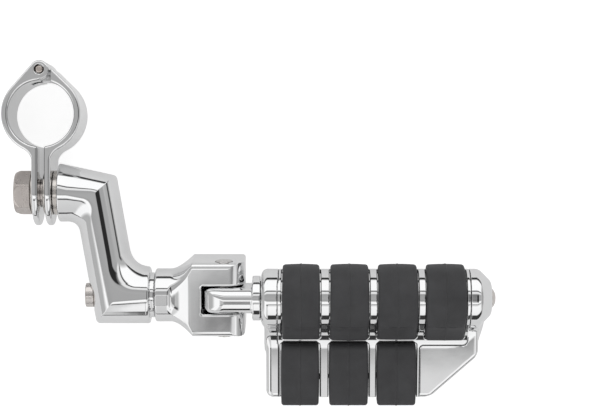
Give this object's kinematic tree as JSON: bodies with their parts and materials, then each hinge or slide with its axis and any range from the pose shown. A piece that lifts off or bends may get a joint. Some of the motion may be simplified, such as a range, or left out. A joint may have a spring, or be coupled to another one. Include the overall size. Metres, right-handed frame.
{
  "type": "foot peg",
  "caption": "Folding highway foot peg with a winged, rubber-padded tread on a clevis, offset arm and hinged tube clamp.",
  "frame": {"origin": "on the guard tube's axis, at the middle of the clamp's width", "axes": "+X runs from the clamp to the outer end of the peg, parallel to the arm's two joint axes; +Z is along the guard tube, towards the tread side; +Y completes the frame"},
  "size_m": [0.239, 0.1684, 0.0394],
  "materials": {
    "chrome_clamp": "polished chrome plate",
    "chrome_arm": "polished chrome plate",
    "chrome_clevis": "polished chrome plate",
    "chrome_stem": "polished chrome plate",
    "chrome_peg": "polished chrome plate",
    "chrome_frame": "polished chrome plate",
    "bolt_nickel": "satin nickel plate, slightly warm",
    "screw_nickel": "satin nickel plate",
    "washer_steel": "zinc plated steel",
    "pin_steel": "ground steel",
    "hinge_pin_nickel": "warm nickel",
    "pad_rubber": "matte moulded rubber"
  },
  "bodies": {
    "clamp": {"clamp_inner_half": "chrome_clamp", "clamp_hinge_pin": "hinge_pin_nickel", "ear_spacer_washer": "washer_steel"},
    "clamp_cap": {"clamp_outer_half": "chrome_clamp"},
    "bolt": {"clamp_bolt": "bolt_nickel", "bolt_head_washer": "washer_steel"},
    "arm": {"offset_arm": "chrome_arm", "arm_lock_washer": "washer_steel"},
    "clevis": {"clevis": "chrome_clevis", "pivot_pin": "pin_steel", "arm_cap_screw": "screw_nickel", "cap_screw_washer": "washer_steel"},
    "stem": {"peg_stem": "chrome_stem", "end_bolt": "screw_nickel"},
    "peg": {"peg_body": "chrome_peg", "pad_frame": "chrome_frame", "pad_upper_1": "pad_rubber", "pad_upper_2": "pad_rubber", "pad_upper_3": "pad_rubber", "pad_upper_4": "pad_rubber", "pad_lower_1": "pad_rubber", "pad_lower_2": "pad_rubber", "pad_lower_3": "pad_rubber", "frame_screw_1": "screw_nickel", "frame_screw_2": "screw_nickel", "frame_screw_3": "screw_nickel", "frame_screw_4": "screw_nickel"}
  },
  "joints": [
    {"name": "clamp_open", "type": "hinge", "parent": "clamp", "child": "clamp_cap", "pos_m": [-0.0008, 0.0213, 0], "axis": [0, 0, -1], "range_deg": [0, 5]},
    {"name": "bolt_back_out", "type": "slide", "parent": "clamp", "child": "bolt", "axis": [-1, 0, 0], "range_m": [0, 0.0066]},
    {"name": "arm_swing", "type": "hinge", "parent": "clamp", "child": "arm", "pos_m": [0, -0.038, 0], "axis": [1, 0, 0], "continuous": true},
    {"name": "clevis_turn", "type": "hinge", "parent": "arm", "child": "clevis", "pos_m": [0.05, -0.088, 0], "axis": [1, 0, 0], "continuous": true},
    {"name": "peg_fold", "type": "hinge", "parent": "clevis", "child": "stem", "pos_m": [0.0879, -0.08922, 0.00689], "axis": [0, -0.9848, -0.1736], "range_deg": [0, 90]},
    {"name": "peg_roll", "type": "hinge", "parent": "stem", "child": "peg", "pos_m": [0.15, -0.08922, 0.00689], "axis": [-1, 0, 0], "continuous": true}
  ],
  "couplings": [
    {"joint": "bolt_back_out", "follows": "clamp_open", "m_per_rad": 0.071}
  ]
}
